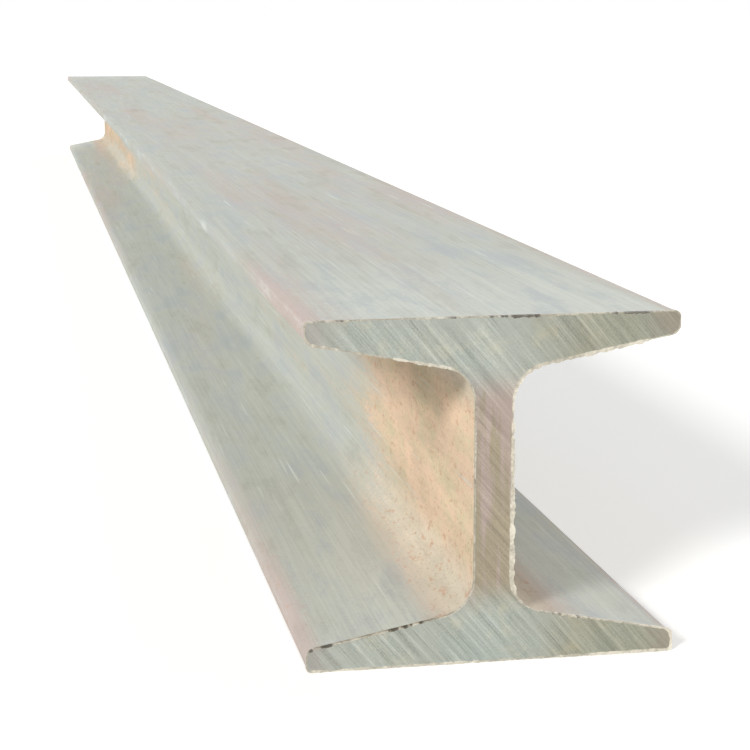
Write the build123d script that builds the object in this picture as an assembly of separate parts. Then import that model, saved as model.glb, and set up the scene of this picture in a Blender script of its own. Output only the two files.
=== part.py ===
from build123d import *
import math
import os

# Steel I-beam: one rolled length of tapered-flange section, sawn square at both ends.
# Millimetres. +Z up through the web, +Y along the beam, +X across the flanges.
# The origin is halfway along the beam, in the middle of the lower flange's underside.

# Driving dimensions
beam_length = 2000.0
section_height = 93.0
flange_width = 100.0
web_thickness = 10.5
toe_thickness = 6.2  # flange thickness at its tip
flange_slope = 11.0  # degrees between a flange's inner face and its flat outer face
root_radius = 10.0  # hollow between web and flange
toe_radius = 3.0  # round on the inner edge of each toe
corner_radius = 1.6  # smaller round on the outer edge of each toe

# Most of the toe's thickness, or of a face beside the root, that one round may take up
toe_share = 0.6
corner_share = 0.35
root_share = 0.45

# Section worked out from them
half_height = section_height / 2
half_width = flange_width / 2
half_web = web_thickness / 2
outstand = half_width - half_web
root_thickness = toe_thickness + outstand * math.tan(math.radians(flange_slope))
web_height = section_height - 2 * root_thickness

# Rounds as rolled, each limited by the wall that it is on
toe_round = min(toe_radius, toe_share * toe_thickness)
corner_round = min(corner_radius, corner_share * toe_thickness)
root_round = min(root_radius, root_share * web_height, root_share * outstand)


def corners(sketch, across, up):
    """The four mirrored corners of the section that lie this far from its centre."""
    return sketch.vertices().filter_by(
        lambda corner: math.isclose(abs(corner.X), across, abs_tol=1e-6)
        and math.isclose(abs(corner.Y), up, abs_tol=1e-6)
    )


def rolled_section():
    """The I profile at the far end: a quarter is drawn, mirrored twice and rounded."""
    far_end = Plane(
        origin=(0, beam_length / 2, half_height), x_dir=(1, 0, 0), z_dir=(0, -1, 0)
    )
    with BuildSketch(far_end) as section:
        with BuildLine():
            Polyline(
                (0, half_height),
                (half_width, half_height),
                (half_width, half_height - toe_thickness),
                (half_web, half_height - root_thickness),
                (half_web, 0),
            )
            mirror(about=Plane.YZ)
            mirror(about=Plane.XZ)
        make_face()
        fillet(corners(section, half_web, half_height - root_thickness), root_round)
        fillet(corners(section, half_width, half_height - toe_thickness), toe_round)
        fillet(corners(section, half_width, half_height), corner_round)
    return section.sketch


def beam():
    """The whole beam: its section run from one sawn end to the other."""
    return extrude(rolled_section(), amount=beam_length)


os.makedirs("parts", exist_ok=True)
export_step(beam(), "parts/beam.step")
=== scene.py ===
"""Looks of one length of rolled steel I-section: its rolled skin, sawn ends, floor, light and camera."""

import logging
import math
from dataclasses import dataclass
from enum import Enum
from typing import NamedTuple

import bmesh
import bpy
from bmesh.types import BMesh, BMVert
from bpy.types import Material, NodeSocket, NodeTree
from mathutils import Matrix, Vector, kdtree, noise
from mathutils.geometry import delaunay_2d_cdt


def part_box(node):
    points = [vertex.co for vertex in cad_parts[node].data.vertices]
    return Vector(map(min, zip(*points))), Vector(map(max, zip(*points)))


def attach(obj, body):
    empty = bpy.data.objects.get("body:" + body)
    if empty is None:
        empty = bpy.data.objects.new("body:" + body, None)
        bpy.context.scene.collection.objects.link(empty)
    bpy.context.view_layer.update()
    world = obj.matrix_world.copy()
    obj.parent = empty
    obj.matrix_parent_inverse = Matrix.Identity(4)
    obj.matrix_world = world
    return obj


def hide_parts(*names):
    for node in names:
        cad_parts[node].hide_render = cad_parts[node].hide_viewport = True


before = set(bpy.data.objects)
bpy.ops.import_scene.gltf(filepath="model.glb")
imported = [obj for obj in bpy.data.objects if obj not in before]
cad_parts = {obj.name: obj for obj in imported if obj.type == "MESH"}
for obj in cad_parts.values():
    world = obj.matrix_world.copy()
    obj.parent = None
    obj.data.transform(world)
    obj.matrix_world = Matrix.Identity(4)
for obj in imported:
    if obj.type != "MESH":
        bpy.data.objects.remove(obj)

log = logging.getLogger("beam")

MM = 0.001

# A MapRange node takes what comes in, where it starts and stops, and what those two become. The
# finishes' pairs of millimetres are such starts and stops.
SOFT = {"interpolation_type": "SMOOTHSTEP"}

# A Math node that adds takes a pattern, how much of it, and what that is added to.
PLUS = {"operation": "MULTIPLY_ADD"}

# A Mix node's sockets where it mixes colours: the upper colour's share, and both colours.
SHARE, UNDER, OVER = 0, 6, 7
COLOURS = {"out": 2, "data_type": "RGBA"}


class End(Enum):
    """The two sawn ends, as the direction that each faces along Y."""

    NEAR = -1
    FAR = 1


class Wear(Enum):
    """What a face of the beam is, as the index of the material slot that it wears."""

    ROLLED = 0
    SAWN = 1
    BURR = 2


def linear(colour: str) -> tuple[float, float, float, float]:
    """Turns an sRGB hex colour to linear red, green, blue and alpha.

    Args:
        colour: Six hex digits after a hash.

    Returns:
        The linear colour, opaque.
    """
    parts = [int(colour[i : i + 2], 16) / 255 for i in (1, 3, 5)]
    red, green, blue = (
        part / 12.92 if part <= 0.04045 else ((part + 0.055) / 1.055) ** 2.4
        for part in parts
    )
    return red, green, blue, 1.0


def add(
    tree: NodeTree, kind: str, inputs: tuple | dict, out: int | str = 0, **settings
) -> NodeSocket | None:
    """Adds a node with its settings, values and links.

    Args:
        tree: The node tree that gets the node.
        kind: The node's Blender type, without the ShaderNode that it starts with.
        inputs: For each socket a value, or the output linked to it: those of the first sockets in
            order, or of sockets by their name or index.
        out: The output that is wanted.
        **settings: The node's own attributes.

    Returns:
        The wanted output socket, or None where the node has none.
    """
    node = tree.nodes.new(f"ShaderNode{kind}")
    for name, value in settings.items():
        setattr(node, name, value)
    if isinstance(inputs, tuple):
        inputs = dict(enumerate(inputs))
    for key, value in inputs.items():
        if isinstance(value, NodeSocket):
            tree.links.new(value, node.inputs[key])
        else:
            node.inputs[key].default_value = value
    return node.outputs[out] if node.outputs else None


def empty_material(name: str) -> tuple[Material, NodeTree]:
    """Makes a material whose node tree holds nothing yet.

    Args:
        name: The material's name.

    Returns:
        The material and its node tree.
    """
    material = bpy.data.materials.new(name)
    material.use_nodes = True
    material.node_tree.nodes.clear()
    return material, material.node_tree


def steel_material(name: str) -> tuple[Material, NodeTree, NodeSocket]:
    """Makes an empty material that knows where each of its points lies on the beam.

    Args:
        name: The material's name.

    Returns:
        The material, its node tree and the place on the beam in millimetres.
    """
    material, tree = empty_material(name)
    place = add(tree, "TexCoord", {}, out="Object")
    in_mm = add(tree, "VectorMath", (place, (1 / MM,) * 3), operation="MULTIPLY")
    return material, tree, in_mm


@dataclass(frozen=True)
class Grain:
    """One cloudy pattern of a finish: its patches' size, and how finely and roughly they break up.

    Drawn is how many times longer than wide the patches are. Real stipple, hairlines, scratches and
    grit are too fine to show, so they are drawn as coarse as they need to be.
    """

    size_mm: float
    detail: float
    roughness: float = 0.5
    drawn: float = 1.0

    def inputs(self) -> dict[str, float]:
        """Returns the pattern's settings, for a texture laid out in millimetres."""
        return {"Scale": 1 / self.size_mm, "Detail": self.detail, "Roughness": self.roughness}


class SkinGround(NamedTuple):
    """What the rolled skin is coloured from: the patterns laid on it, and where on the beam it is.

    From_web and from_halfway are in millimetres, and the zones on web, root and toe from 0 to 1.
    """

    flakes: NodeSocket
    films: NodeSocket
    clouds: NodeSocket
    bands: NodeSocket
    hairlines: NodeSocket
    stipple: NodeSocket
    specks: NodeSocket
    freckles: NodeSocket
    peel: NodeSocket
    from_web: NodeSocket
    from_halfway: NodeSocket
    on_web: NodeSocket
    on_root: NodeSocket
    on_toe: NodeSocket


@dataclass(frozen=True)
class RolledSkin:
    """Hot-rolled structural steel: matt grey mill scale, rubbed pale, with a thin peach film of rust.

    The rolls leave hairlines and faint bands along the beam. Scale is smoother and blue-grey where it
    is whole, and pale and duller where it has flaked off. Rust is a matt, cloudy film that hides the
    roll marks, with tan freckles in it. It is thickest on the web beside each cut, where the saw's
    coolant ran, creamier at the roots and pinker on the toes. The saw's clamps have rubbed the flanges
    paler beside each cut, and handling has left a few long bright scuffs.
    """

    half_length_mm: float
    half_width_mm: float
    middle_mm: float
    worn: str = "#c6c9be"
    scale: str = "#9ea5a9"
    film: str = "#e4c4a5"
    ochre: str = "#cfc29b"
    cream: str = "#d5cab6"
    blush: str = "#c9b0a7"
    tan: str = "#c78f68"
    rust: str = "#9a7558"
    rubbed: str = "#d6dad1"
    flake: Grain = Grain(13.0, 11.0, 0.68, drawn=5.0)
    filmy: Grain = Grain(42.0, 10.0, 0.6, drawn=14.0)
    cloud: Grain = Grain(12.0, 9.0, 0.7, drawn=2.5)
    band: Grain = Grain(7.0, 4.0, drawn=30.0)
    hairline: Grain = Grain(0.7, 2.0, drawn=110.0)
    stipple: Grain = Grain(1.3, 5.0, 0.75)
    speck: Grain = Grain(0.9, 3.0, 0.7)
    freckle: Grain = Grain(2.6, 4.0, 0.65, drawn=2.5)
    peel: Grain = Grain(3.5, 3.0)
    scuff: Grain = Grain(1.1, 1.0, drawn=60.0)
    scuff_turn: tuple[float, float, float] = (0.05, 0.0, 0.16)
    beside_web_mm: tuple[float, float] = (28.0, 7.0)
    between_mm: tuple[float, float] = (41.0, 38.0)
    root_mm: tuple[float, float] = (18.0, 30.0)
    coolant_mm: float = 250.0
    splash_mm: float = 140.0
    blush_mm: tuple[float, float] = (6.0, 1.0)
    clamp_mm: float = 150.0
    clamp_fray_mm: float = 180.0
    toe_fray_mm: float = 6.0
    relief: float = 0.2 * MM

    def material(self) -> Material:
        """Makes the finish, worked out from the beam's own millimetres.

        Returns:
            The material.
        """
        material, tree, in_mm = steel_material("hot_rolled_mill_scale")
        laid = SkinGround(*self.lay_patterns(tree, in_mm), *self.find_zones(tree, in_mm))
        whole, bare = self.scale_coat(tree, laid)
        filmed = self.film_cover(tree, laid)
        film_hue = self.film_hue(tree, laid)
        rusty = add(tree, "Mix", {SHARE: filmed, UNDER: bare, OVER: film_hue}, **COLOURS)
        spotted = self.rust_specks(tree, laid, filmed, rusty)
        marked = self.scuffs(tree, in_mm, laid, spotted)
        shading = self.streaks(tree, laid, filmed)
        colour = add(tree, "VectorMath", {0: marked, "Scale": shading}, operation="SCALE")
        satin = add(tree, "MapRange", (whole, 0.0, 1.0, 0.72, 0.62))
        roughness = add(tree, "MapRange", (filmed, 0.0, 0.9, satin, 0.85))
        metallic = add(tree, "MapRange", (filmed, 0.0, 0.9, 0.12, 0.0))
        rough = add(tree, "Math", (laid.stipple, 0.8, laid.peel), **PLUS)
        height = add(tree, "Math", (laid.hairlines, 0.5, rough), **PLUS)
        bump = add(tree, "Bump", {"Height": height, "Strength": 0.6, "Distance": self.relief})
        shader = add(
            tree,
            "BsdfPrincipled",
            {"Base Color": colour, "Roughness": roughness, "Metallic": metallic, "Normal": bump},
        )
        add(tree, "OutputMaterial", {"Surface": shader})
        return material

    def lay_patterns(self, tree: NodeTree, in_mm: NodeSocket) -> list[NodeSocket]:
        """Lays the skin's patterns, each drawn out along the beam as the rolls drew it.

        Args:
            tree: The material's node tree.
            in_mm: The place on the beam.

        Returns:
            The patterns, in SkinGround's order.
        """
        grains = (self.flake, self.filmy, self.cloud, self.band, self.hairline)
        grains += (self.stipple, self.speck, self.freckle, self.peel)
        laid = []
        for grain in grains:
            drawn = add(tree, "VectorMath", (in_mm, (1, 1 / grain.drawn, 1)), operation="MULTIPLY")
            laid.append(add(tree, "TexNoise", {"Vector": drawn, **grain.inputs()}))
        return laid

    def find_zones(self, tree: NodeTree, in_mm: NodeSocket) -> tuple[NodeSocket, ...]:
        """Finds where a point lies: how far from the web and from halfway, and in which zones.

        Args:
            tree: The material's node tree.
            in_mm: The place on the beam.

        Returns:
            The distances and the zones, in SkinGround's order.
        """
        sideways = add(tree, "SeparateXYZ", (in_mm,))
        along, height = sideways.node.outputs[1], sideways.node.outputs[2]
        up = add(tree, "Math", (height, self.middle_mm), operation="SUBTRACT")
        from_web, from_halfway, from_middle = (
            add(tree, "Math", (distance,), operation="ABSOLUTE") for distance in (sideways, along, up)
        )
        beside_web = add(tree, "MapRange", (from_web, *self.beside_web_mm, 0.0, 1.0), **SOFT)
        between = add(tree, "MapRange", (from_middle, *self.between_mm, 0.0, 1.0), **SOFT)
        on_web = add(tree, "Math", (beside_web, between), operation="MULTIPLY")
        on_root = add(tree, "MapRange", (from_middle, *self.root_mm, 0.0, 0.85), **SOFT)
        splashed = add(
            tree,
            "MapRange",
            (from_halfway, self.half_length_mm - self.splash_mm, self.half_length_mm, 0.06, 0.18),
            **SOFT,
        )
        pale_mm, pink_mm = (self.half_width_mm - inward for inward in self.blush_mm)
        on_toe = add(tree, "MapRange", (from_web, pale_mm, pink_mm, 0.0, splashed))
        return from_web, from_halfway, on_web, on_root, on_toe

    def scale_coat(self, tree: NodeTree, laid: SkinGround) -> tuple[NodeSocket, NodeSocket]:
        """Colours the steel under the rust: worn, rubbed by the clamps, or still under its scale.

        Args:
            tree: The material's node tree.
            laid: The skin's patterns and places.

        Returns:
            How whole the scale is, and the colour.
        """
        flaked = add(tree, "Math", (laid.stipple, 0.3, laid.flakes), **PLUS)
        whole = add(tree, "MapRange", (flaked, 0.58, 0.79, 0.0, 0.7), **SOFT)
        ragged = add(tree, "Math", (laid.flakes, -self.clamp_fray_mm, laid.from_halfway), **PLUS)
        cut_mm = self.half_length_mm - self.clamp_fray_mm / 2
        clamped = add(tree, "MapRange", (ragged, cut_mm - self.clamp_mm, cut_mm, 0.0, 0.75), **SOFT)
        bare = linear(self.worn)
        for share, over in ((clamped, self.rubbed), (whole, self.scale)):
            bare = add(tree, "Mix", {SHARE: share, UNDER: bare, OVER: linear(over)}, **COLOURS)
        return whole, bare

    def film_cover(self, tree: NodeTree, laid: SkinGround) -> NodeSocket:
        """Spreads the film of rust, which the saw's coolant made thickest on the web beside each cut.

        Args:
            tree: The material's node tree.
            laid: The skin's patterns and places.

        Returns:
            How much the film covers.
        """
        wetted = add(
            tree,
            "MapRange",
            (laid.from_halfway, self.half_length_mm - self.coolant_mm, self.half_length_mm, 0.0, 0.34),
            **SOFT,
        )
        spotty = add(tree, "Math", (laid.films, laid.on_toe))
        nearer = add(tree, "Math", (laid.on_web, wetted, spotty), **PLUS)
        stippled = add(tree, "Math", (laid.stipple, 0.55, nearer), **PLUS)
        spread = add(tree, "MapRange", (stippled, 0.74, 0.96, 0.0, 1.0), **SOFT)
        weakest = add(tree, "Math", (laid.on_toe, 1.2, 0.45), **PLUS)
        strongest = add(tree, "Math", (laid.on_web, 0.45, weakest), **PLUS)
        return add(tree, "Math", (spread, strongest), operation="MULTIPLY")

    def film_hue(self, tree: NodeTree, laid: SkinGround) -> NodeSocket:
        """Colours the film: peach and ochre on the web, cream at the roots and pink on the toes.

        Args:
            tree: The material's node tree.
            laid: The skin's patterns and places.

        Returns:
            The film's colour, with its freckles.
        """
        yellowed = add(tree, "MapRange", (laid.clouds, 0.42, 0.64, 0.0, 0.7), **SOFT)
        web = linear(self.film)
        for share, over in ((yellowed, self.ochre), (laid.on_root, self.cream)):
            web = add(tree, "Mix", {SHARE: share, UNDER: web, OVER: linear(over)}, **COLOURS)
        hue = add(tree, "Mix", {SHARE: laid.on_web, UNDER: linear(self.blush), OVER: web}, **COLOURS)
        freckled = add(tree, "MapRange", (laid.freckles, 0.56, 0.68, 0.0, 0.6), **SOFT)
        return add(tree, "Mix", {SHARE: freckled, UNDER: hue, OVER: linear(self.tan)}, **COLOURS)

    def rust_specks(
        self, tree: NodeTree, laid: SkinGround, filmed: NodeSocket, rusty: NodeSocket
    ) -> NodeSocket:
        """Strews specks of deeper rust, which crowd where the film is thick.

        Args:
            tree: The material's node tree.
            laid: The skin's patterns and places.
            filmed: How much the film covers.
            rusty: The colour so far.

        Returns:
            The colour with the specks.
        """
        crowded = add(tree, "Math", (filmed, 0.1, laid.specks), **PLUS)
        spots = add(tree, "MapRange", (crowded, 0.67, 0.77, 0.0, 0.6), **SOFT)
        return add(tree, "Mix", {SHARE: spots, UNDER: rusty, OVER: linear(self.rust)}, **COLOURS)

    def scuffs(
        self, tree: NodeTree, in_mm: NodeSocket, laid: SkinGround, spotted: NodeSocket
    ) -> NodeSocket:
        """Rubs the skin bright along the toes and in a few long scuffs.

        Args:
            tree: The material's node tree.
            in_mm: The place on the beam.
            laid: The skin's patterns and places.
            spotted: The colour so far.

        Returns:
            The colour with the bright places.
        """
        oblique = add(
            tree,
            "Mapping",
            {"Vector": in_mm, "Rotation": self.scuff_turn, "Scale": (1, 1 / self.scuff.drawn, 1)},
        )
        scratches = add(tree, "TexNoise", {"Vector": oblique, **self.scuff.inputs()})
        scraped = add(tree, "MapRange", (scratches, 0.69, 0.76, 0.0, 0.6), **SOFT)
        frayed = add(tree, "Math", (laid.flakes, self.toe_fray_mm, laid.from_web), **PLUS)
        edge_mm = self.half_width_mm + self.toe_fray_mm / 2
        toe_shine = add(tree, "MapRange", (frayed, edge_mm - 0.2, edge_mm + 0.8, 0.0, 0.6), **SOFT)
        bright = add(tree, "Math", (scraped, toe_shine), operation="MAXIMUM")
        return add(tree, "Mix", {SHARE: bright, UNDER: spotted, OVER: linear(self.rubbed)}, **COLOURS)

    def streaks(self, tree: NodeTree, laid: SkinGround, filmed: NodeSocket) -> NodeSocket:
        """Works out how light the skin is from its roll marks, which the film hides, and its weathering.

        Args:
            tree: The material's node tree.
            laid: The skin's patterns and places.
            filmed: How much the film covers.

        Returns:
            What the colour is to be multiplied by.
        """
        tone = add(tree, "Math", (laid.bands, 0.6, laid.hairlines), **PLUS)
        rolled = add(tree, "MapRange", (tone, 0.55, 1.05, -0.08, 0.075))
        seen = add(tree, "MapRange", (filmed, 0.0, 0.9, 1.0, 0.3))
        weathered = add(tree, "MapRange", (laid.flakes, 0.38, 0.62, 0.69, 0.97))
        grainy = add(tree, "Math", (laid.stipple, 0.3, weathered), **PLUS)
        return add(tree, "Math", (rolled, seen, grainy), **PLUS)


@dataclass(frozen=True)
class ColdSaw:
    """The saw that cut the beam, and what its blade leaves: slanting furrows, torn lips and bites.

    The blade came in through the upper edges and left through the lower right ones. Enters and leaves
    are the directions out of the section that its teeth met first and last.
    """

    mark_pitch: float = 2.5 * MM
    mark_depth: float = 0.06 * MM
    mark_angle: float = math.radians(50.0)
    enters: tuple[float, float] = (-0.2, 0.98)
    leaves: tuple[float, float] = (0.8, -0.6)
    tear_mm: float = 2.2
    torn_patch_mm: float = 19.0
    tooth_mm: float = 2.0
    bitten_patch_mm: float = 16.0
    deepest_bite_mm: float = 0.7
    drift_mm: tuple[float, float] = (14.0, 90.0)
    pressed_mm: tuple[float, float] = (7.0, 30.0)
    ends_apart: float = 0.1
    seed: int = 11

    def spot(self, place: Vector, end: End) -> Vector:
        """Returns a point of an end's outline in millimetres, with both ends kept well apart."""
        return Vector((place.x, place.y, end.value * self.ends_apart)) / MM

    def lip(self, place: Vector, normal: Vector, end: End) -> float:
        """How far the torn lip stands up at a point of the outline.

        Args:
            place: The point on the section.
            normal: The outline's outward direction there.
            end: The sawn end that it is on.

        Returns:
            0 for a clean edge to 1 for the tallest lip.
        """
        leaving = 0.5 + 0.5 * normal.dot(Vector(self.leaves))
        spot = self.spot(place, end)
        ragged = noise.fractal(spot / self.tear_mm, 0.7, 2.0, 4)
        patchy = noise.noise(spot / self.torn_patch_mm + Vector((self.seed, 0, 0)))
        return min(1.0, max(0.0, 0.75 * leaving - 0.15 + 0.5 * ragged + 0.6 * patchy))

    def bite(self, place: Vector, normal: Vector, end: End) -> float:
        """How deep the blade's teeth bit into the edge where they came in.

        Args:
            place: The point on the section.
            normal: The outline's outward direction there.
            end: The sawn end that it is on.

        Returns:
            The bite's depth in millimetres, 0 along most of the outline.
        """
        entering = max(0.0, normal.dot(Vector(self.enters)))
        spot = self.spot(place, end)
        torn = noise.fractal(spot / self.tooth_mm + Vector((0, self.seed, 0)), 0.6, 2.0, 4)
        patchy = noise.noise(spot / self.bitten_patch_mm + Vector((0, 0, self.seed)))
        reach = min(1.0, max(0.0, 0.4 + 1.8 * patchy))
        return min(self.deepest_bite_mm, 0.5 * entering * reach * max(0.0, 0.35 + torn))

    def mark(self, place: Vector, end: End) -> float:
        """The blade marks' height at a point of a sawn face.

        Args:
            place: The point on the section.
            end: The sawn end that it is on.

        Returns:
            -1 in a furrow to 1 on a ridge.
        """
        slant = Vector((math.cos(self.mark_angle), -math.sin(self.mark_angle)))
        across = place.dot(Vector((-slant.y, slant.x))) / MM
        lengthwise = place.dot(slant) / MM
        wide, long = self.drift_mm
        drift = 0.9 * noise.noise(Vector((across / wide, lengthwise / long, end.value * 3.7)))
        wide, long = self.pressed_mm
        strength = 0.5 + 0.9 * noise.noise(Vector((across / wide, lengthwise / long, 9.1)))
        wave = math.sin(2 * math.pi * (across * MM / self.mark_pitch + drift))
        return max(-1.0, min(1.0, wave * strength))


@dataclass(frozen=True)
class SawnFace:
    """Structural steel cut by a cold saw: pale dull metal with slanting blade marks, warmer over the web.

    The blade leaves shallow furrows that catch the light as soft stripes, with finer scratches between
    them, strong in some places and faint in others. The flanges have a cool green-grey cast, mottled
    with cream, and the web a beige one, rosier higher up. The toes are a little pinker, where they have
    begun to rust. Coolant ran to the side where the blade left, and has dried there to a thin olive film.
    """

    saw: ColdSaw
    half_width_mm: float
    middle_mm: float
    pale: str = "#cacdc3"
    grey: str = "#7e837a"
    cool: str = "#a3ada7"
    cream: str = "#c6c2aa"
    beige: str = "#9f8f75"
    rosy: str = "#b09a90"
    pinkish: str = "#a59b95"
    olive: str = "#ede6da"
    stain: str = "#7d7160"
    stripe: Grain = Grain(2.5, 4.0, 0.65, drawn=45.0)
    scratch: Grain = Grain(0.35, 3.0, drawn=45.0)
    grit: Grain = Grain(0.4, 2.0)
    blotch: Grain = Grain(22.0, 8.0, 0.6)
    mottling: Grain = Grain(9.0, 7.0, 0.7)
    drip: Grain = Grain(1.8, 4.0, drawn=14.0)
    web_end_mm: tuple[float, float] = (34.0, 23.0)
    rosier_per_mm: float = 0.004
    toe_fray_mm: float = 30.0
    pink_mm: tuple[float, float] = (3.0, 14.0)
    dried_fray_mm: float = 12.0
    dried_mm: tuple[float, float] = (10.0, 34.0)
    relief: float = 0.08 * MM

    def material(self) -> Material:
        """Makes the finish, tinted by where it lies on the section.

        Returns:
            The material.
        """
        material, tree, in_mm = steel_material("cold_sawn_steel")
        grit, blotches, mottle = (
            add(tree, "TexNoise", {"Vector": in_mm, **grain.inputs()})
            for grain in (self.grit, self.blotch, self.mottling)
        )
        lines = self.blade_lines(tree, in_mm)
        shade = self.stripes(tree, lines, grit, blotches, mottle)
        flange = self.flange_hue(tree, shade, blotches, mottle)
        sideways = add(tree, "SeparateXYZ", (in_mm,))
        up = add(tree, "Math", (sideways.node.outputs[2], self.middle_mm), operation="SUBTRACT")
        web = self.web_hue(tree, in_mm, up, shade)
        from_middle = add(tree, "Math", (up,), operation="ABSOLUTE")
        on_web = add(tree, "MapRange", (from_middle, *self.web_end_mm, 0.0, 0.8), **SOFT)
        warmed = add(tree, "Mix", {SHARE: on_web, UNDER: flange, OVER: web}, **COLOURS)
        colour = self.stains(tree, sideways, blotches, mottle, warmed)
        roughness = add(tree, "MapRange", (lines, 0.5, 1.2, 0.58, 0.42))
        bump = add(tree, "Bump", {"Height": lines, "Strength": 0.45, "Distance": self.relief})
        shader = add(
            tree,
            "BsdfPrincipled",
            {"Base Color": colour, "Roughness": roughness, "Metallic": 0.5, "Normal": bump},
        )
        add(tree, "OutputMaterial", {"Surface": shader})
        return material

    def blade_lines(self, tree: NodeTree, in_mm: NodeSocket) -> NodeSocket:
        """Draws the stripes and scratches that the blade leaves along its slant.

        Args:
            tree: The material's node tree.
            in_mm: The place on the beam.

        Returns:
            Their height.
        """
        rise, run = math.sin(self.saw.mark_angle), math.cos(self.saw.mark_angle)
        drawn = self.stripe.drawn
        across, lengthwise = (
            add(tree, "VectorMath", (in_mm, direction), out="Value", operation="DOT_PRODUCT")
            for direction in ((rise, 0, run), (run / drawn, 0, -rise / drawn))
        )
        blade = add(tree, "CombineXYZ", (across, lengthwise))
        stripes, scratches = (
            add(tree, "TexNoise", {"Vector": blade, **grain.inputs()})
            for grain in (self.stripe, self.scratch)
        )
        return add(tree, "Math", (scratches, 0.8, stripes), **PLUS)

    def stripes(
        self, tree: NodeTree, lines: NodeSocket, grit: NodeSocket, blotches: NodeSocket, mottle: NodeSocket
    ) -> NodeSocket:
        """Shades the blade marks, with painted shading from the furrows' height, stronger in some patches
        than in others.

        Args:
            tree: The material's node tree.
            lines: The height of the fine marks.
            grit: The finest pattern.
            blotches: The widest pattern.
            mottle: The middle pattern.

        Returns:
            0 where the metal is darkest to 1 where it is palest.
        """
        furrows = add(tree, "Attribute", {}, out="Fac", attribute_name="saw_mark")
        # Painted shading: the furrows' height lightens the ridges and darkens the furrows, added to the
        # marks' own tone.
        marks_and_painted_shade = add(tree, "Math", (furrows, 0.1, lines), **PLUS)
        patchy = add(tree, "Math", (blotches, 1.6, mottle), **PLUS)
        contrast = add(tree, "MapRange", (patchy, 1.05, 1.55, 0.3, 2.1))
        gritty = add(tree, "Math", (grit, 0.5, marks_and_painted_shade), **PLUS)
        swing = add(tree, "Math", (gritty, 1.15), operation="SUBTRACT")
        return add(tree, "Math", (swing, contrast, 0.5), use_clamp=True, **PLUS)

    def flange_hue(
        self, tree: NodeTree, shade: NodeSocket, blotches: NodeSocket, mottle: NodeSocket
    ) -> NodeSocket:
        """Colours the flanges: green-grey metal, cooler in some blotches and creamier in others.

        Args:
            tree: The material's node tree.
            shade: How pale the blade marks are.
            blotches: The widest pattern.
            mottle: The middle pattern.

        Returns:
            The colour.
        """
        chill = add(tree, "MapRange", (blotches, 0.46, 0.66, 0.0, 0.45), **SOFT)
        creamed = add(tree, "MapRange", (mottle, 0.5, 0.7, 0.0, 0.5), **SOFT)
        hue = linear(self.grey)
        for share, over in ((shade, self.pale), (chill, self.cool), (creamed, self.cream)):
            hue = add(tree, "Mix", {SHARE: share, UNDER: hue, OVER: linear(over)}, **COLOURS)
        return hue

    def web_hue(
        self, tree: NodeTree, in_mm: NodeSocket, up: NodeSocket, shade: NodeSocket
    ) -> NodeSocket:
        """Colours the web: beige, with rosy drips that are commoner higher up.

        Args:
            tree: The material's node tree.
            in_mm: The place on the beam.
            up: The height above the section's middle.
            shade: How pale the blade marks are.

        Returns:
            The colour.
        """
        upright = add(tree, "VectorMath", (in_mm, (1, 1, 1 / self.drip.drawn)), operation="MULTIPLY")
        drips = add(tree, "TexNoise", {"Vector": upright, **self.drip.inputs()})
        rosier = add(tree, "Math", (up, self.rosier_per_mm, drips), **PLUS)
        dripped = add(tree, "MapRange", (rosier, 0.42, 0.58, 0.0, 1.0))
        hue = add(
            tree, "Mix", {SHARE: dripped, UNDER: linear(self.beige), OVER: linear(self.rosy)}, **COLOURS
        )
        marked = add(tree, "MapRange", (shade, 0.0, 1.0, 0.74, 1.26))
        return add(tree, "VectorMath", {0: hue, "Scale": marked}, operation="SCALE")

    def stains(
        self,
        tree: NodeTree,
        sideways: NodeSocket,
        blotches: NodeSocket,
        mottle: NodeSocket,
        colour: NodeSocket,
    ) -> NodeSocket:
        """Tints the toes pink, the side that the coolant ran to olive, and a few blotches brown.

        Args:
            tree: The material's node tree.
            sideways: The place across the section.
            blotches: The widest pattern.
            mottle: The middle pattern.
            colour: The colour so far.

        Returns:
            The colour with its stains.
        """
        from_web = add(tree, "Math", (sideways,), operation="ABSOLUTE")
        uneven = add(tree, "Math", (mottle, self.toe_fray_mm, from_web), **PLUS)
        clean_mm, pink_mm = (self.half_width_mm + outward for outward in self.pink_mm)
        on_toe = add(tree, "MapRange", (uneven, clean_mm, pink_mm, 0.0, 0.5), **SOFT)
        ran_to = add(tree, "Math", (mottle, self.dried_fray_mm, sideways), **PLUS)
        dried = add(tree, "MapRange", (ran_to, *self.dried_mm, 0.0, 1.0), **SOFT)
        stained = add(tree, "MapRange", (blotches, 0.38, 0.28, 0.0, 0.35), **SOFT)
        coats = (
            (on_toe, self.pinkish, "MIX"),
            (dried, self.olive, "MULTIPLY"),
            (stained, self.stain, "MIX"),
        )
        for share, over, blend in coats:
            sockets = {SHARE: share, UNDER: colour, OVER: linear(over)}
            colour = add(tree, "Mix", sockets, blend_type=blend, **COLOURS)
        return colour


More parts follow.
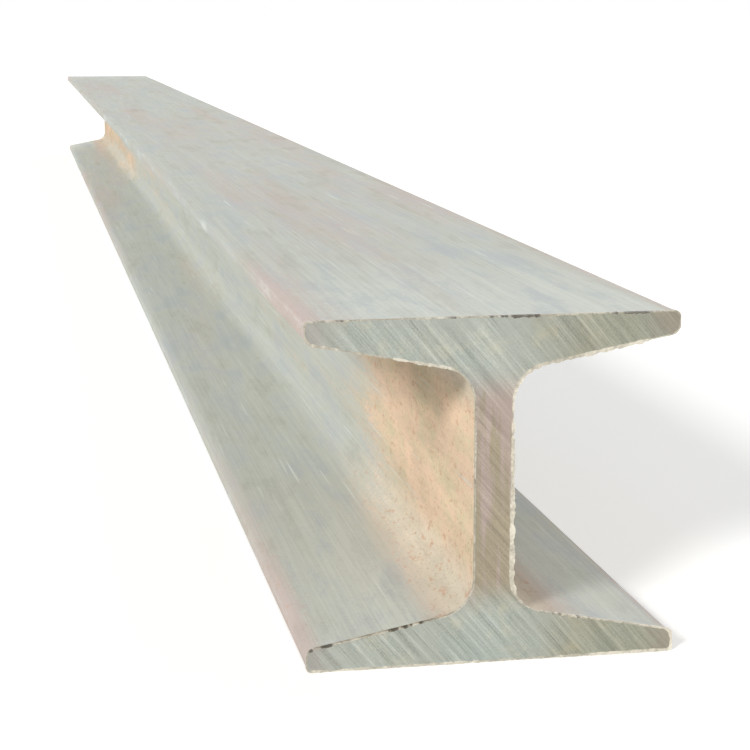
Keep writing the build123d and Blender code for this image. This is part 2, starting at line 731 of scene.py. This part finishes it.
@dataclass(frozen=True)
class TornBurr:
    """The lip of torn steel that the blade leaves: freshly broken and bright, with a painted highlight on
    the tallest lips and painted shadow in the bites between.
    """

    # Fresh torn metal, made paler still by a painted highlight where the lip stands tallest.
    bright: str = "#ddd6c5"
    dull: str = "#aca595"
    # Painted shadow, for the shade inside the bites under the torn lip.
    bite_shadow: str = "#676257"
    tear: Grain = Grain(0.8, 4.0)
    patch: Grain = Grain(6.0, 2.0)

    def material(self) -> Material:
        """Makes the finish: fresh metal with a painted highlight where the lip stands up, and painted
        shadow where the teeth bit in and the lip is low.

        Returns:
            The material.
        """
        material, tree, in_mm = steel_material("torn_steel_burr")
        tears, patches = (
            add(tree, "TexNoise", {"Vector": in_mm, **grain.inputs()}) for grain in (self.tear, self.patch)
        )
        uneven = add(tree, "Math", (patches, 1.2, tears), **PLUS)
        stand = add(tree, "Attribute", {}, out="Fac", attribute_name="lip_height")
        ragged = add(tree, "Math", (stand, 0.35, uneven), **PLUS)
        # Painted highlight where the lip stands tall, over the fresh metal's own brightness.
        lip_bright_and_highlight = add(tree, "MapRange", (ragged, 0.95, 1.5, 0.0, 1.0))
        # Painted shadow where the teeth bit in and along the lowest lips.
        gap = add(tree, "Math", (tears, 0.5, stand), **PLUS)
        shaded_bites = add(tree, "MapRange", (gap, 0.25, -0.1, 0.0, 1.0))
        colour = linear(self.dull)
        for share, over in ((lip_bright_and_highlight, self.bright), (shaded_bites, self.bite_shadow)):
            colour = add(tree, "Mix", {SHARE: share, UNDER: colour, OVER: linear(over)}, **COLOURS)
        shader = add(tree, "BsdfPrincipled", {"Base Color": colour, "Roughness": 0.4, "Metallic": 0.6})
        add(tree, "OutputMaterial", {"Surface": shader})
        return material


@dataclass(frozen=True)
class SurfaceMap:
    """Where the beam's surface lies on its texture map.

    The skin is two bands side by side, one for each half of the length. Both sawn faces lie above them,
    enlarged, because they show the finest marks.
    """

    girth: float
    half_length: float
    width: float
    height: float
    gap: float = 12.0 * MM
    enlarged: float = 4.4

    def side(self) -> float:
        """Returns the side of the square of surface that the whole map holds."""
        up = self.half_length + self.height * self.enlarged + 3 * self.gap
        return max(2 * self.girth + 3 * self.gap, up)

    def skin(self, run: float, y: float, end: End) -> tuple[float, float]:
        """Places a point of the rolled skin.

        Args:
            run: Distance round the section.
            y: Distance along the beam from its middle.
            end: The half of the beam that the point's face is in.

        Returns:
            The point's place on the map.
        """
        band = 0 if end is End.NEAR else self.girth + self.gap
        return (self.gap + band + run) / self.side(), (self.gap + abs(y)) / self.side()

    def sawn(self, x: float, z: float, end: End) -> tuple[float, float]:
        """Places a point of a sawn face.

        Args:
            x: Across the section from its centre.
            z: Up the section from its centre.
            end: The end that the face is at.

        Returns:
            The point's place on the map.
        """
        middle = self.gap + self.width * self.enlarged / 2
        if end is End.FAR:
            middle += self.width * self.enlarged + self.gap
        up = 2 * self.gap + self.half_length + self.height * self.enlarged / 2
        return (middle + x * self.enlarged) / self.side(), (up + z * self.enlarged) / self.side()


@dataclass
class RolledBeam:
    """One length of tapered-flange I-section, with its blade marks and burrs as real relief."""

    low: Vector
    high: Vector
    saw: ColdSaw = ColdSaw()
    web: float = 10.5 * MM
    toe: float = 6.2 * MM
    slope: float = math.radians(11.0)
    root_radius: float = 10.0 * MM
    toe_radius: float = 3.0 * MM
    corner_radius: float = 1.6 * MM
    arc_steps: int = 24
    fine_step: float = 0.4 * MM
    fine_per_coarse: int = 6
    ring_gap: float = 25.0 * MM
    lead_in: float = 3.0 * MM
    inset: float = 0.12 * MM
    sunk: float = 0.16 * MM
    face_depth: float = 0.5 * MM
    face_step: float = 0.55 * MM
    edge_room: float = 0.7
    lip_start: float = 0.9 * MM
    lip_foot: float = 0.15 * MM
    lip_width: float = 0.45 * MM
    lip_lean: float = 0.6 * MM
    lip_spacing: float = 0.3 * MM
    sharp_edge: float = math.radians(38.0)

    def __post_init__(self) -> None:
        """Works out the section's half sizes, its height above the floor, its outline and its map."""
        self.half_width = (self.high.x - self.low.x) / 2
        self.half_height = (self.high.z - self.low.z) / 2
        self.rise = (self.high.z + self.low.z) / 2
        self.points = self.outline()
        self.normals = self.outward()
        girth = self.fine_step * len(self.points)
        self.layout = SurfaceMap(girth, self.high.y, 2 * self.half_width, 2 * self.half_height)

    def corners(self) -> list[tuple[Vector, float]]:
        """Finds the section's twelve corners.

        Returns:
            The corners, clockwise, each with the radius rolled on it.
        """
        half_web = self.web / 2
        root = self.toe + (self.half_width - half_web) * math.tan(self.slope)
        quarter = [
            (self.half_width, self.half_height, self.corner_radius),
            (self.half_width, self.half_height - self.toe, self.toe_radius),
            (half_web, self.half_height - root, self.root_radius),
        ]
        found = []
        for across, up in ((1, 1), (1, -1), (-1, -1), (-1, 1)):
            for x, z, radius in quarter if across == up else quarter[::-1]:
                found.append((Vector((across * x, up * z)), radius))
        return found

    def outline(self) -> list[Vector]:
        """Draws the section, with its rounds as arcs.

        Returns:
            Points spaced evenly round it.
        """
        corners = self.corners()
        path = []
        for i, (corner, radius) in enumerate(corners):
            before = (corners[i - 1][0] - corner).normalized()
            after = (corners[(i + 1) % len(corners)][0] - corner).normalized()
            half_opening = before.angle(after) / 2
            centre = corner + (before + after).normalized() * radius / math.sin(half_opening)
            reach = radius / math.tan(half_opening)
            start = corner + before * reach - centre
            stop = corner + after * reach - centre
            turn = math.atan2(start.x * stop.y - start.y * stop.x, start.dot(stop))
            for k in range(self.arc_steps + 1):
                angle = turn * k / self.arc_steps
                path.append(centre + Vector((
                    start.x * math.cos(angle) - start.y * math.sin(angle),
                    start.x * math.sin(angle) + start.y * math.cos(angle),
                )))
        return self.evenly(path)

    def evenly(self, path: list[Vector]) -> list[Vector]:
        """Spaces points evenly along a closed path.

        Args:
            path: The path's corners, the last joined to the first.

        Returns:
            The new points, a multiple of fine_per_coarse of them.
        """
        closed = path + path[:1]
        runs = [(b - a).length for a, b in zip(closed, closed[1:])]
        total = sum(runs)
        count = round(total / self.fine_step / self.fine_per_coarse) * self.fine_per_coarse
        points, run, passed = [], 0, 0.0
        for k in range(count):
            target = total * k / count
            while passed + runs[run] < target:
                passed += runs[run]
                run += 1
            share = (target - passed) / runs[run] if runs[run] else 0.0
            points.append(closed[run].lerp(closed[run + 1], share))
        return points

    def outward(self) -> list[Vector]:
        """Finds the direction out of the section at each point of its outline, which runs clockwise.

        Returns:
            A unit vector for each.
        """
        count = len(self.points)
        along = [self.points[(i + 1) % count] - self.points[i - 1] for i in range(count)]
        return [Vector((-step.y, step.x)).normalized() for step in along]

    def build(self) -> bpy.types.Object:
        """Builds the beam: rolled skin, torn lips and sawn faces, closed all round.

        Returns:
            The beam's mesh object.
        """
        mesh = bmesh.new()
        mesh.verts.layers.float.new("saw_mark")
        mesh.verts.layers.float.new("lip_height")
        mesh.loops.layers.uv.new("OFBake")
        self.skin(mesh, {end: self.sawn_end(mesh, end) for end in End})
        bmesh.ops.recalc_face_normals(mesh, faces=mesh.faces)
        data = bpy.data.meshes.new("rolled_beam")
        mesh.to_mesh(data)
        mesh.free()
        data.polygons.foreach_set("use_smooth", [True] * len(data.polygons))
        data.set_sharp_from_angle(angle=self.sharp_edge)
        piece = bpy.data.objects.new("rolled_beam", data)
        bpy.context.scene.collection.objects.link(piece)
        return piece

    def add_face(
        self, mesh: BMesh, corners: list[BMVert], places: list[tuple[float, float]], wear: Wear
    ) -> None:
        """Adds a face with its finish and its place on the texture map.

        Args:
            mesh: The mesh that gets it.
            corners: The face's vertices.
            places: Where each lies on the map.
            wear: What the face is.
        """
        face = mesh.faces.new(corners)
        face.material_index = wear.value
        layer = mesh.loops.layers.uv["OFBake"]
        for loop, place in zip(face.loops, places):
            loop[layer].uv = place

    def sawn_end(self, mesh: BMesh, end: End) -> list[BMVert]:
        """Builds a sawn face with its torn lip.

        Args:
            mesh: The mesh that gets them.
            end: Which end it is.

        Returns:
            The ring of vertices where the lip meets the rolled skin.
        """
        lip_layer = mesh.verts.layers.float["lip_height"]
        tip_y = self.high.y if end is End.FAR else self.low.y
        rings, places = [[] for _ in range(4)], [[] for _ in range(4)]
        for place, normal in zip(self.points, self.normals):
            bite = self.saw.bite(place, normal, end)
            tall = self.saw.lip(place, normal, end) * max(0.0, 1 - 3 * bite)
            room = min(self.half_width - abs(place.x), self.half_height - abs(place.y))
            lean = min(self.lip_lean * tall * tall, room / 2)
            edge = self.inset * (tall - 1) - bite * MM
            depths = (
                (self.face_depth + self.lip_start, -self.inset),
                (self.face_depth + self.lip_foot, edge + 0.25 * lean),
                (self.face_depth * (1 - tall), edge + lean),
                (self.face_depth, -self.inset - self.lip_width * (0.6 + tall) - bite * MM),
            )
            for ring, (depth, out) in enumerate(depths):
                spot = place + normal * out
                vert = mesh.verts.new((spot.x, tip_y - end.value * depth, spot.y + self.rise))
                # This height also places the burr's painted highlight on tall lips and its painted shadow
                # in the bites.
                vert[lip_layer] = tall - 2 * bite
                rings[ring].append(vert)
                shown = place + normal * (self.lip_spacing * (2 - ring)) if ring < 3 else spot
                places[ring].append(self.layout.sawn(shown.x, shown.y, end))
        count = len(self.points)
        for k in range(3):
            for i in range(count):
                j = (i + 1) % count
                self.add_face(
                    mesh,
                    [rings[k][i], rings[k][j], rings[k + 1][j], rings[k + 1][i]],
                    [places[k][i], places[k][j], places[k + 1][j], places[k + 1][i]],
                    Wear.BURR,
                )
        self.sawn_face(mesh, rings[-1], tip_y, end)
        return rings[0]

    def sawn_face(self, mesh: BMesh, rim: list[BMVert], tip_y: float, end: End) -> None:
        """Fills the inside of a lip with the sawn face and its blade marks.

        Args:
            mesh: The mesh that gets it.
            rim: The vertices along the lip's foot.
            tip_y: Where the beam's box ends.
            end: Which end it is.
        """
        edge = [Vector((vert.co.x, vert.co.z - self.rise)) for vert in rim]
        near_edge = kdtree.KDTree(len(edge))
        for i, place in enumerate(edge):
            near_edge.insert((place.x, place.y, 0), i)
        near_edge.balance()
        points = list(edge)
        rows = int(2 * self.half_height / self.face_step)
        columns = int(2 * self.half_width / self.face_step)
        for row in range(rows):
            z = -self.half_height + (row + 0.5) * self.face_step
            for column in range(columns):
                x = -self.half_width + (column + 0.25 + 0.5 * (row % 2)) * self.face_step
                if near_edge.find((x, z, 0))[2] > self.edge_room * self.face_step:
                    points.append(Vector((x, z)))
        count = len(edge)
        links = [(i, (i + 1) % count) for i in range(count)]
        shape = [list(range(count))]
        spots, _, faces, origins, _, _ = delaunay_2d_cdt(points, links, shape, 1, 1e-7)
        mark_layer = mesh.verts.layers.float["saw_mark"]
        verts = {k: rim[min(origin)] for k, origin in enumerate(origins) if min(origin) < count}
        for face in faces:
            for k in face:
                if k not in verts:
                    height = self.saw.mark(spots[k], end)
                    depth = self.face_depth - self.saw.mark_depth * height
                    place = (spots[k].x, tip_y - end.value * depth, spots[k].y + self.rise)
                    verts[k] = mesh.verts.new(place)
                    verts[k][mark_layer] = height
            corners = [verts[k] for k in face]
            if len(set(corners)) == len(corners):
                places = [self.layout.sawn(spots[k].x, spots[k].y, end) for k in face]
                self.add_face(mesh, corners, places, Wear.SAWN)

    def skin(self, mesh: BMesh, rims: dict[End, list[BMVert]]) -> None:
        """Builds the rolled skin from one lip to the other.

        Args:
            mesh: The mesh that gets it.
            rims: Each end's ring of vertices, which the skin runs between.
        """
        start = rims[End.NEAR][0].co.y + self.lead_in
        stop = rims[End.FAR][0].co.y - self.lead_in
        gaps = 2 * round((stop - start) / self.ring_gap / 2)
        picked = range(0, len(self.points), self.fine_per_coarse)
        runs = [i * self.fine_step for i in range(len(self.points) + 1)]
        rings = []
        for k in range(gaps + 1):
            y = start + (stop - start) * k / gaps
            ring = []
            for i in picked:
                place = self.points[i]
                spot = place - self.normals[i] * (self.inset + self.sink(place, y))
                ring.append(mesh.verts.new((spot.x, y, spot.y + self.rise)))
            rings.append(ring)
        step = self.fine_per_coarse
        count = len(picked)
        for k, (ring, after) in enumerate(zip(rings, rings[1:])):
            end = End.NEAR if k < gaps // 2 else End.FAR
            for i in range(count):
                j = (i + 1) % count
                corners = [ring[i], ring[j], after[j], after[i]]
                steps = (i, i + 1, i + 1, i)
                places = [self.layout.skin(runs[s * step], v.co.y, end) for s, v in zip(steps, corners)]
                self.add_face(mesh, corners, places, Wear.ROLLED)
        for end, coarse in ((End.NEAR, rings[0]), (End.FAR, rings[-1])):
            fine = rims[end]
            for i in range(count):
                first = i * step
                corners = [fine[(first + k) % len(fine)] for k in range(step + 1)]
                corners += [coarse[(i + 1) % count], coarse[i]]
                steps = [first + k for k in range(step + 1)] + [first + step, first]
                places = [self.layout.skin(runs[s], v.co.y, end) for s, v in zip(steps, corners)]
                self.add_face(mesh, corners, places, Wear.ROLLED)

    def sink(self, place: Vector, y: float) -> float:
        """How far the rolled skin lies under its true line, as hot-rolled steel does.

        Args:
            place: The point on the section.
            y: Along the beam.

        Returns:
            The depth in metres, never below 0.
        """
        spot = Vector((place.x * 18, y * 3.2, place.y * 18 + self.saw.seed))
        return self.sunk * (0.5 + 0.5 * noise.noise(spot))

    def dress(self, piece: bpy.types.Object) -> None:
        """Gives the piece its finishes and puts it in the place of the plain solid.

        Args:
            piece: The beam's mesh object.
        """
        half_width_mm, middle_mm = self.half_width / MM, self.rise / MM
        finishes = {
            Wear.ROLLED: RolledSkin(self.high.y / MM, half_width_mm, middle_mm),
            Wear.SAWN: SawnFace(self.saw, half_width_mm, middle_mm),
            Wear.BURR: TornBurr(),
        }
        for wear in Wear:
            piece.data.materials.append(finishes[wear].material())
        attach(piece, "root")
        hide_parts("beam")


@dataclass(frozen=True)
class Lamp:
    """A broad soft lamp, far off."""

    name: str
    power: float
    comes_from: tuple[float, float, float]
    spread: float

    def build(self) -> None:
        """Makes the lamp."""
        data = bpy.data.lights.new(self.name, "SUN")
        data.energy = self.power
        data.angle = self.spread
        lamp = bpy.data.objects.new(self.name, data)
        lamp.rotation_mode = "QUATERNION"
        lamp.rotation_quaternion = Vector(self.comes_from).to_track_quat("Z", "Y")
        bpy.context.scene.collection.objects.link(lamp)


@dataclass
class Studio:
    """A pale floor under an even sky, with a key lamp from the front left and a weak fill opposite."""

    floor_side: float = 400.0
    sky: float = 0.4
    key: Lamp = Lamp("key", 2.7, (-0.607, -0.657, 0.449), math.radians(12.0))
    fill: Lamp = Lamp("fill", 0.7, (0.62, 0.6, 0.5), math.radians(50.0))
    floor_colour: str = "#e6e6e4"
    floor_glow: float = 0.4

    def build(self) -> None:
        """Makes the floor, the sky and the lamps."""
        self.floor()
        self.sky_light()
        self.key.build()
        self.fill.build()

    def seen_white(self, tree: NodeTree) -> NodeSocket:
        """Adds what tells rays that see the backdrop from rays that light the object.

        Args:
            tree: The node tree that gets it.

        Returns:
            A socket that is 1 for camera, glossy and transmission rays, and else 0.
        """
        seen = add(tree, "LightPath", {}, out="Is Camera Ray")
        path = seen.node
        for kind in ("Is Glossy Ray", "Is Transmission Ray"):
            seen = add(tree, "Math", (seen, path.outputs[kind]), operation="MAXIMUM")
        return seen

    def floor(self) -> None:
        """Makes the floor, which keeps the beam's shadow and else shows white."""
        half = self.floor_side / 2
        data = bpy.data.meshes.new("floor")
        corners = [(-half, -half, 0), (half, -half, 0), (half, half, 0), (-half, half, 0)]
        data.from_pydata(corners, [], [(0, 1, 2, 3)])
        material, tree = empty_material("pale_floor")
        matt = add(tree, "BsdfDiffuse", {"Color": linear(self.floor_colour)})
        strength = add(tree, "Math", (self.seen_white(tree), self.floor_glow), operation="MULTIPLY")
        glow = add(tree, "Emission", {"Strength": strength})
        both = add(tree, "AddShader", (matt, glow))
        add(tree, "OutputMaterial", {"Surface": both})
        data.materials.append(material)
        floor = bpy.data.objects.new("floor", data)
        bpy.context.scene.collection.objects.link(floor)

    def sky_light(self) -> None:
        """Makes the even sky, white where it is seen and dimmer where it lights."""
        world = bpy.data.worlds.new("sky")
        world.use_nodes = True
        tree = world.node_tree
        tree.nodes.clear()
        strength = add(tree, "MapRange", (self.seen_white(tree), 0.0, 1.0, self.sky, 1.0))
        light = add(tree, "Background", {"Color": (1, 1, 1, 1), "Strength": strength})
        add(tree, "OutputWorld", {"Surface": light})
        bpy.context.scene.world = world


@dataclass
class Viewpoint:
    """The photograph's camera: near the sawn end, a little above and to the left, looking along it."""

    low: Vector
    high: Vector
    off_left: float = 120.0 * MM
    off_end: float = 468.0 * MM
    off_middle: float = 122.0 * MM
    fill: float = 0.82
    closest: float = 10.0 * MM
    tries: int = 8

    def build(self) -> None:
        """Makes the camera, aimed so that the beam lies in the middle of a square frame."""
        middle = (self.low + self.high) / 2
        eye = Vector((middle.x - self.off_left, self.low.y - self.off_end, middle.z + self.off_middle))
        corners = [
            Vector((x, y, z))
            for x in (self.low.x, self.high.x)
            for y in (self.low.y, self.high.y)
            for z in (self.low.z, self.high.z)
        ]
        aim = (Vector((middle.x, self.low.y, middle.z)) - eye).normalized()
        widest = 1.0
        for _ in range(self.tries):
            turn = aim.to_track_quat("-Z", "Y")
            seen = [turn.inverted() @ (corner - eye) for corner in corners]
            spans = [(p.x / -p.z, p.y / -p.z) for p in seen]
            lowest = [min(span[k] for span in spans) for k in (0, 1)]
            highest = [max(span[k] for span in spans) for k in (0, 1)]
            widest = max(highest[k] - lowest[k] for k in (0, 1))
            shift = [(highest[k] + lowest[k]) / 2 for k in (0, 1)]
            aim = (turn @ Vector((shift[0], shift[1], -1))).normalized()
        data = bpy.data.cameras.new("camera")
        data.lens = data.sensor_width * self.fill / widest
        data.clip_start = self.closest
        camera = bpy.data.objects.new("camera", data)
        camera.location = eye
        camera.rotation_mode = "QUATERNION"
        camera.rotation_quaternion = aim.to_track_quat("-Z", "Y")
        bpy.context.scene.collection.objects.link(camera)
        bpy.context.scene.camera = camera
        log.info("camera lens %.1f mm", data.lens)


def main() -> None:
    """Builds the studio, the camera and the beam, in that order."""
    logging.basicConfig(level=logging.INFO)
    bpy.context.scene.view_settings.view_transform = "Standard"
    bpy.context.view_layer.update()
    low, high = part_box("beam")
    Studio().build()
    Viewpoint(low, high).build()
    beam = RolledBeam(low, high)
    piece = beam.build()
    beam.dress(piece)
    log.info("%s: %d faces", piece.name, len(piece.data.polygons))


if __name__ == "__main__":
    main()
